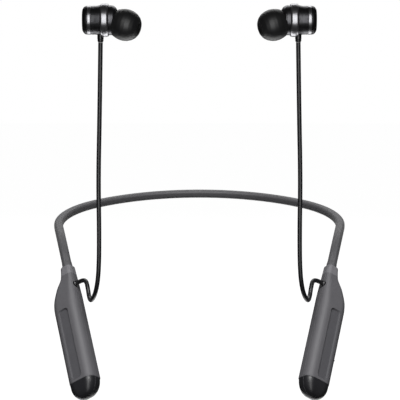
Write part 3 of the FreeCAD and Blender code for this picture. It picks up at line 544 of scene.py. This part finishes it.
def outline(z, inset, t, wall, part, count):
    """One row of a shell: its (a, b, z) points from the inner side round to the outer."""
    lo, hi, half, r = smooth_table(BODY, z)
    split = SPLIT
    if t > 0:
        k = math.cos(t) ** (2 / P) if t < math.pi / 2 - 1e-6 else 0.0
        z = DOME_AT - (L + DOME_AT) * math.sin(t) ** (2 / P)
        k = max(k, 0.004)
        step = 0.16 * min(1.0, t / 0.05)
        lo, hi, half, r, split = (lo + step) * k, (hi - step) * k, (half - step) * k, (r + 0.3 * math.sin(t)) * k, split * k
        lean = DOME_LEAN * math.sin(t) ** (2 / P)
        lo, hi = lo - lean, hi - lean
    cut = wall + inset
    scale = 1.0
    if t > 0 and wall:
        scale = max(0.05, (HW * k - wall) / (HW * k)) if HW * k > wall else 0.05
        mid, wide = (lo + hi) / 2, (hi - lo) / 2
        lo, hi, half, r = mid - wide * scale, mid + wide * scale, half * scale, r * scale
        split *= min(1.0, scale * 1.2)
        cut = 0.0
    lo, hi, half, r = lo + cut, hi - cut, half - cut, max(r - cut, 0.02)
    ring = ring_points(hi - lo, 2 * half, r, 240) + V((lo + hi) / 2, 0)
    keep = ring[:, 1] >= split if part == "front" else ring[:, 1] <= split
    if not keep.any():
        keep = ring[:, 1] >= ring[:, 1].max() - 1e-9
    # start at the first kept point after a gap, with the two crossings added
    n = len(ring)
    first = next((i for i in range(n) if keep[i] and not keep[i - 1]), 0)
    order = [(first + i) % n for i in range(int(keep.sum()))]
    pts = [ring[i] for i in order]
    a, b = ring[(first - 1) % n], ring[(order[-1] + 1) % n]

    def cross(p, q):
        s = (split - p[1]) / (q[1] - p[1]) if abs(q[1] - p[1]) > 1e-9 else 0.0
        return p + (q - p) * min(max(s, 0), 1)

    pts = np.array([cross(a, pts[0])] + pts + [cross(pts[-1], b)])
    s = np.concatenate([[0], np.cumsum(np.linalg.norm(np.diff(pts, axis=0), axis=1))])
    q = np.linspace(0, s[-1], count)
    out = np.stack([np.interp(q, s, pts[:, 0]), np.interp(q, s, pts[:, 1]), np.full(count, z)], 1)
    if part == "back":
        out = out[::-1]
    return out


def smoothstep(x):
    x = np.clip(x, 0, 1)
    return x * x * (3 - 2 * x)


def recess_edge(a, z):
    """Distance from the recess's rounded outline, negative inside it."""
    a0, a1, z0, z1, r = -3.6, 1.8, -54.0, -20.5, 1.7
    dx = np.abs(a - (a0 + a1) / 2) - (a1 - a0) / 2 + r
    dz = np.abs(z - (z0 + z1) / 2) - (z1 - z0) / 2 + r
    return np.hypot(np.maximum(dx, 0), np.maximum(dz, 0)) + np.minimum(np.maximum(dx, dz), 0) - r


def hollow(pts):
    """The long recess of the front face, deepest along its inner wall."""
    a, b, z = pts[:, 0], pts[:, 1], pts[:, 2]
    a0, a1 = -3.6, 1.8
    d = recess_edge(a, z)
    share = np.clip((a - a0) / (a1 - a0), 0, 1)
    width = 0.35 + 0.9 * (1 - share)
    depth = (0.38 + 0.47 * share) * smoothstep(-d / width)
    flat = b > HD - 2.0
    out = pts.copy()
    out[:, 1] = b - depth * flat
    return out


def shell(side, part):
    count = 110 if part == "front" else 120
    rows = pod_rows()
    outer, inner_rows = [], []
    for i, (z, inset, t) in enumerate(rows):
        o = outline(z, inset, t, 0.0, part, count)
        if part == "front" and t == 0:
            o = hollow(o)
        # groove along the parting line
        mid = o.mean(0)
        for j, pull in ((0, 0.12), (-1, 0.12), (1, 0.03), (-2, 0.03)):
            d = mid - o[j]
            d[2] = 0
            ln = np.linalg.norm(d)
            if ln > 0.5:
                o[j] = o[j] + d / ln * pull
        outer.append(o)
        k = i / (len(rows) - 1)
        zi = max(DOME_AT, -1.6 + z * 0.985) if z > -50 else z
        inner_rows.append(outline(min(zi, -1.6), 0.0, min(t, 1.35), 1.2, part, count))
    ni = len(rows)
    verts = np.concatenate(outer + inner_rows)
    grid = lattice((ni, count), closed=False)
    base = ni * count
    faces = flip_faces(grid) + [tuple(base + i for i in f) for f in grid]
    for i in range(ni - 1):
        for j, rev in ((0, False), (count - 1, True)):
            f = (i * count + j, (i + 1) * count + j, base + (i + 1) * count + j, base + i * count + j)
            faces.append(tuple(reversed(f)) if rev else f)
    faces.append(tuple(j for j in range(count)))
    faces.append(tuple(base + count - 1 - j for j in range(count)))
    faces.append((count - 1, 0, base, base + count - 1))
    last = (ni - 1) * count
    faces.append(tuple(last + count - 1 - j for j in range(count)))
    faces.append(tuple(base + last + j for j in range(count)))
    faces.append((last, last + count - 1, base + last + count - 1, base + last))
    if part == "back":
        faces = flip_faces(faces)
    picks = []
    for f in faces:
        hs = [verts[i][2] for i in f]
        if f[0] >= base or len(f) > 4:
            picks.append(0)
        elif max(hs) < DOME_AT - 0.02:
            picks.append(1)
        # faces near the top (the collar) take the lighter painted-light copy (index 2)
        elif min(hs) > -4.6:
            picks.append(2)
        else:
            m = verts[list(f)].mean(0)
            # faces inside the recess take the darker painted-shade copy (index 3)
            picks.append(3 if part == "front" and m[1] > 3.0 and recess_edge(m[0], m[2]) < -0.12 else 0)
    world = np.array([pod(a, b, z) for a, b, z in verts])
    return build("%s_%s_skin" % (side, part), world, faces, None, side, 38, mats=[LOOK["pod_plastic"], DOME, COLLAR_PAINTED_LIGHT, RECESS_PAINTED_SHADE], picks=picks)


def tool(kind, *args):
    """A cutter in pod coordinates: a box (a0,a1,b0,b1,z0,z1) or a rod (r,a,b,z,way,length)."""
    if kind == "box":
        a0, a1, b0, b1, z0, z1 = args
        c = [(a, b, z) for z in (z0, z1) for b in (b0, b1) for a in (a0, a1)]
        f = [(0, 2, 3, 1), (4, 5, 7, 6), (0, 1, 5, 4), (2, 6, 7, 3), (0, 4, 6, 2), (1, 3, 7, 5)]
        return [pod(*p) for p in c], f
    r, a, b, z, way, length = args
    n = 32
    ends = []
    for e in (0, length):
        for j in range(n):
            t = 2 * math.pi * j / n
            c, s = r * math.cos(t), r * math.sin(t)
            ends.append({"a": (a + e, b + c, z + s), "b": (a + s, b + e, z + c)}[way])
    f = [(j, (j + 1) % n, n + (j + 1) % n, n + j) for j in range(n)] + [tuple(reversed(range(n))), tuple(range(n, 2 * n))]
    return [pod(*p) for p in ends], f


def carve(o, tools, side):
    """Cuts the windows out of a shell, one after another."""
    for i, (v, f) in enumerate(tools):
        v = np.array(v, float)
        for solver, grow in (("MANIFOLD", 0.0), ("EXACT", 0.0), ("MANIFOLD", 0.013), ("EXACT", 0.013), ("EXACT", -0.017)):
            mid = v.mean(0)
            t = build("cutter", mid + (v - mid) * (1 + grow), f, LOOK["pod_plastic"], side)
            bm_fix(t.data)
            m = o.modifiers.new("cut", "BOOLEAN")
            m.operation = "DIFFERENCE"
            m.solver = solver
            m.object = t
            dg = bpy.context.evaluated_depsgraph_get()
            me = bpy.data.meshes.new_from_object(o.evaluated_get(dg))
            o.modifiers.clear()
            bpy.data.objects.remove(t)
            before = len(o.data.polygons)
            if len(me.polygons) > 0.8 * before and len(me.polygons) != before:
                old = o.data
                o.data = me
                bpy.data.meshes.remove(old)
                print("carve", o.name, i, solver, grow, len(me.polygons))
                break
            bpy.data.meshes.remove(me)
        else:
            print("carve", o.name, i, "left out")
    o.data.polygons.foreach_set("use_smooth", [True] * len(o.data.polygons))
    o.data.set_sharp_from_angle(angle=math.radians(38))
    return o


def bm_fix(me):
    import bmesh

    bm = bmesh.new()
    bm.from_mesh(me)
    bmesh.ops.recalc_face_normals(bm, faces=bm.faces)
    bm.to_mesh(me)
    bm.free()


RZ, UZ = -31.5, -48.4
KEY_WINDOW = tool("box", -1.6, 2.2, -1.6, 0.8, -4.7, -1.7)
BACK_TOOLS = [tool("rod", 1.4, a, -half - 0.5, z, "b", 0.5 + half - 2.6) for a, z, half in ((-1.5, -14.5, 4.35), (0.0, -56.0, 4.8))]
SIDE_TOOLS = [
    tool("box", -7.0, -4.8, -1.85, 1.85, RZ - 7.8, RZ + 7.8),
    tool("box", -7.0, -5.45, -2.55, 2.55, -55.2, -41.55),
    tool("box", -7.0, -4.6, -1.8, 1.8, UZ - 4.7, UZ + 4.7),
    tool("rod", 0.62, -7.0, -0.5, -20.9, "a", 2.6),
    tool("rod", 0.4, -7.0, -0.5, -17.9, "a", 3.2),
]
for side in ("left", "right"):
    for part in ("front", "back"):
        o = shell(side, part)
        bm_fix(o.data)
        cuts = []
        if part == "back":
            cuts += [KEY_WINDOW] + BACK_TOOLS
        if side == "right":
            cuts += SIDE_TOOLS if part == "back" else SIDE_TOOLS[:3]
        if cuts:
            carve(o, cuts, side)
        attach(o, side + "_arm")
        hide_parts("%s_%s_shell" % (side, part))
    # gland: a short tapered sleeve that the cable leaves through
    g = lathe(side + "_gland_skin", [(-1.9, 0), (-1.9, 1.44), (-0.35, 1.44), (-0.05, 1.3, 0.1), (0.0, 1.0, 0.02), (-0.2, 0.9, 0.02), (-0.3, 0)],
              pod(6.9, SPLIT, -10.0), INNER, LOOK["cable_jacket"], side, n=48, default=0.08)
    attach(g, side + "_arm")
    # press key beside the collar
    body = "power_key" if side == "left" else "mode_key"

    def crown(q):
        q = q.copy()
        if q[0] < 0:
            q[0] += 0.22 * (((q[1] + 0.4) / 1.0) ** 2 + ((q[2] + 3.2) / 1.3) ** 2) / 2
        return q

    k = rounded_block(body + "_skin", lambda q: pod(*q), (-0.45, -1.4, -4.5), (1.4, 0.6, -1.9), 0.55, LOOK["key_plastic"], side, shape=crown)
    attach(k, body)
    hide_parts(body)


# volume rocker and port flap on the control pod's outer side
def rocker_form(q):
    q = q.copy()
    if q[0] < -6.0:
        s = (q[2] - RZ) / 7.5
        q[0] += 0.32 * math.exp(-(s / 0.28) ** 2) + 0.10 * s * s
        # a raised bar on each pad
        for c in (-0.62, 0.62):
            q[0] -= 0.10 * math.exp(-(((s - c) * 7.5) / 0.35) ** 4) * math.exp(-(q[1] / 0.95) ** 6)
    return q


rk = rounded_block("volume_rocker_skin", lambda q: pod(*q), (-6.9, -1.6, RZ - 7.5), (-5.5, 1.6, RZ + 7.5), 0.45, LOOK["key_plastic"], "right", shape=rocker_form)
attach(rk, "volume_rocker")
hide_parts("volume_rocker")
leg = rounded_block("volume_rocker_leg", lambda q: pod(*q), (-5.7, -1.2, RZ - 0.85), (-3.9, 1.2, RZ + 0.85), 0.3, LOOK["key_plastic"], "right")
carve(leg, [tool("rod", 0.55, -4.7, -3.0, RZ, "b", 6.0)], "right")
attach(leg, "volume_rocker")


def flap_form(q):
    q = q.copy()
    if q[0] < -6.1:
        q[0] += 0.10 * (q[1] / 2.35) ** 2
        # finger lip at the free end and three grip ribs
        s = q[2] + 55.0
        q[0] += 0.30 * math.exp(-(s / 0.7) ** 2)
        for c in (1.6, 2.4, 3.2):
            q[0] += 0.10 * math.exp(-((s - c) / 0.22) ** 2) * math.exp(-(q[1] / 1.7) ** 6)
    return q


fl = rounded_block("port_flap_skin", lambda q: pod(*q), (-6.38, -2.35, -55.0), (-5.55, 2.35, -42.3), 0.35, LOOK["band_rubber"], "right", shape=flap_form)
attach(fl, "port_flap")
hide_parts("port_flap")
plug = rounded_block("port_flap_plug", lambda q: pod(*q), (-5.7, -1.05, UZ - 3.95), (-4.6, 1.05, UZ + 3.95), 0.5, LOOK["band_rubber"], "right")
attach(plug, "port_flap")
barrel_pin = lathe("port_flap_hinge", [(-2.35, 0), (-2.35, 0.45), (2.35, 0.45), (2.35, 0)], pod(-6.05, 0, -42.3), FRONT, LOOK["band_rubber"], "right", n=32, default=0.12)
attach(barrel_pin, "port_flap")

# --- earbuds ------------------------------------------------------------------------
BUD = V(-47.8, -112.0, 80.7)
X = V(1, 0, 0)
NOZ = unit((0.912, -0.332, -0.24))
ROOT = BUD + X * 10.0
for side in ("left", "right"):
    bud, tip = side + "_bud", side + "_tip"

    def put(name, prof, look, node, body, origin=BUD, axis=X, n=112, default=0.12, closed=False, sharp=40):
        o = lathe(side + name, prof, origin, axis, LOOK[look], side, n, default, sharp, closed)
        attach(o, body)
        if node:
            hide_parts(side + node)
        return o

    put("_cap_skin", [(0.12, 0), (0.12, 3.5, 0.3), (0.0, 3.75, 0.1), (0.0, 4.35, 0.3), (0.5, 5.2, 0.5), (1.2, 5.75, 0.5), (1.95, 5.85, 0.02), (1.95, 3.6, 0.02), (1.0, 3.6, 0.02), (1.0, 0)],
        "cap_metal", "_back_cap", bud)
    put("_rear_ring_skin", [(1.97, 5.1), (1.97, 5.72, 0.02), (2.12, 5.9, 0.1), (2.7, 5.93, 0.6), (3.33, 5.9, 0.1), (3.48, 5.72, 0.02), (3.48, 5.1, 0.02), (1.97, 5.1)],
        "bright_metal", "_rear_ring", bud, default=0.1)
    # barrel: fine turned grooves and a gentle flare towards the bulge ring
    prof = [(3.5, 5.15), (3.5, 5.78, 0.02)]
    for k in range(9):
        t = 3.62 + k * 0.4
        r = 5.85 + 0.42 * max(0.0, (t - 5.0) / 2.4) ** 1.4
        prof += [(t, r - 0.05, 0.02), (t + 0.08, r, 0.03), (t + 0.3, r + 0.005, 0.03), (t + 0.38, r - 0.05, 0.02)]
    prof += [(7.3, 6.22, 0.05), (7.4, 6.1, 0.02), (7.4, 5.15, 0.02), (3.5, 5.15)]
    put("_barrel_skin", prof, "gunmetal", "_barrel", bud, default=0.04)
    put("_bulge_ring_skin", [(7.41, 5.1), (7.41, 6.3, 0.05), (7.62, 6.62, 0.15), (8.1, 6.8, 0.3), (9.95, 6.8, 0.3), (10.45, 6.62, 0.15), (10.69, 6.3, 0.05), (10.69, 5.1, 0.02), (7.41, 5.1)],
        "bright_metal", "_bulge_ring", bud, default=0.1)
    put("_front_skin", [(10.7, 5.1), (10.7, 6.1, 0.05), (11.9, 6.1, 0.5), (12.6, 5.95, 0.7), (13.4, 5.4, 0.8), (14.1, 4.5, 0.8), (14.6, 3.3, 0.8), (14.8, 1.6, 0.5), (14.8, 0)],
        "gunmetal", "_front_housing", bud, default=0.3)
    put("_nozzle_skin", [(3.0, 0), (3.0, 2.4, 0.02), (9.6, 2.4, 0.1), (9.9, 2.4, 0.1), (10.45, 2.3, 0.1), (10.5, 2.05, 0.08), (10.5, 1.72, 0.05), (10.0, 1.7, 0.02), (10.0, 0)],
        "gunmetal", None, bud, ROOT, NOZ, n=64)
    put("_tip_skin", [
        (14.28, 2.15), (14.42, 2.6, 0.3), (14.05, 3.5, 0.8), (13.25, 4.6, 1.4), (12.0, 5.55, 1.8), (10.4, 6.22, 2.2), (8.8, 6.5, 2.2), (7.2, 6.42, 2.2), (5.7, 6.05, 1.4), (4.5, 5.6, 0.2),
        (4.4, 5.35, 0.1), (4.55, 5.15, 0.1), (5.7, 5.42, 1), (7.2, 5.8, 1), (8.8, 5.85, 1), (10.4, 5.5, 1), (11.6, 4.8, 0.8), (12.1, 4.0, 0.3), (12.1, 3.5, 0.1),
        (6.3, 3.5, 0.1), (6.3, 2.46, 0.05), (10.7, 2.46, 0.1), (10.95, 2.1, 0.2), (13.9, 2.02, 0.1), (14.28, 2.15)],
        "tip_silicone", "_ear_tip", tip, ROOT, NOZ, n=128, default=0.5, sharp=70)
    put("_boot_skin", [(5.4, 0), (5.4, 1.3, 0.02), (7.7, 1.3, 0.1), (7.85, 1.16, 0.1), (8.0, 1.27, 0.1), (8.5, 1.2, 0.1), (8.9, 1.02, 0.05), (8.95, 0.9, 0.02), (8.95, 0)],
        "cable_jacket", "_boot", bud, BUD + X * 7.3, V(0, 0, -1), n=48, default=0.08)

# small parts that show: merge their coincident points
for n in ("usb_receptacle", "left_screws", "right_screws", "led_light_pipe"):
    o = NODES[n]
    w = o.modifiers.new("weld", "WELD")
    w.merge_threshold = 1e-6

# --- surroundings ---------------------------------------------------------------------
def glow(name, color, strength, white):
    m = bpy.data.materials.new(name)
    m.use_nodes = True
    p = m.node_tree.nodes["Principled BSDF"]
    p.inputs["Base Color"].default_value = (white, white, white, 1)
    p.inputs["Roughness"].default_value = 0.9
    p.inputs["Specular IOR Level"].default_value = 0.0
    p.inputs["Emission Color"].default_value = (*color, 1)
    p.inputs["Emission Strength"].default_value = strength
    return m


def disc(name, radius, z, look, n=64):
    me = bpy.data.meshes.new(name)
    me.from_pydata([(radius * math.cos(2 * math.pi * k / n), radius * math.sin(2 * math.pi * k / n), z) for k in range(n)], [], [tuple(range(n))])
    me.materials.append(look)
    o = bpy.data.objects.new(name, me)
    bpy.context.scene.collection.objects.link(o)
    return o


floor = disc("floor", 5.2, -0.16, glow("floor_look", (1, 1, 1), 0.98, 0.4))
import bmesh

bm = bmesh.new()
bmesh.ops.create_uvsphere(bm, u_segments=48, v_segments=24, radius=5.0)
me = bpy.data.meshes.new("backdrop")
bm.to_mesh(me)
bm.free()
me.materials.append(glow("backdrop_look", (1, 1, 1), 1.0, 0.0))
backdrop = bpy.data.objects.new("backdrop", me)
bpy.context.scene.collection.objects.link(backdrop)
for o in (floor, backdrop):
    o.visible_diffuse = False
    o.visible_glossy = False
    o.visible_transmission = False
    o.visible_shadow = False
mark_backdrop(floor, backdrop)

world = bpy.data.worlds.new("world")
bpy.context.scene.world = world
world.use_nodes = True
world.node_tree.nodes["Background"].inputs["Color"].default_value = (1, 1, 1, 1)
world.node_tree.nodes["Background"].inputs["Strength"].default_value = 0.025


def soft_light(name, place, aim, size, size_y, power):
    d = bpy.data.lights.new(name, "AREA")
    d.shape = "RECTANGLE"
    d.size, d.size_y, d.energy = size, size_y, power
    o = bpy.data.objects.new(name, d)
    bpy.context.scene.collection.objects.link(o)
    o.location = place
    o.rotation_euler = (Vector(aim) - Vector(place)).to_track_quat("-Z", "Y").to_euler()
    o.visible_camera = False
    return o


key = soft_light("key_above", (0, -0.62, 0.85), (0, -0.08, 0), 0.7, 0.6, 14)
soft_light("front_card", (0, -1.15, 0.22), (0, -0.08, 0.0), 0.55, 1.25, 5.2)
soft_light("rear_above", (0, 0.85, 0.75), (0, -0.05, 0), 0.9, 0.5, 3.0)
soft_light("low_rear", (0, 0.45, -0.75), (0, -0.05, 0), 1.2, 0.6, 5)
# the key is flagged off the earbuds, as on a product table
lit = bpy.data.collections.new("lit_by_key")
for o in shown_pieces():
    if not any(b.endswith(("_bud", "_tip")) for b in (body_of(o) or [])):
        lit.objects.link(o)
key.light_linking.receiver_collection = lit

vs = bpy.context.scene.view_settings
vs.view_transform = "Standard"
vs.look = "None"
vs.exposure = 0.0
vs.gamma = 1.0
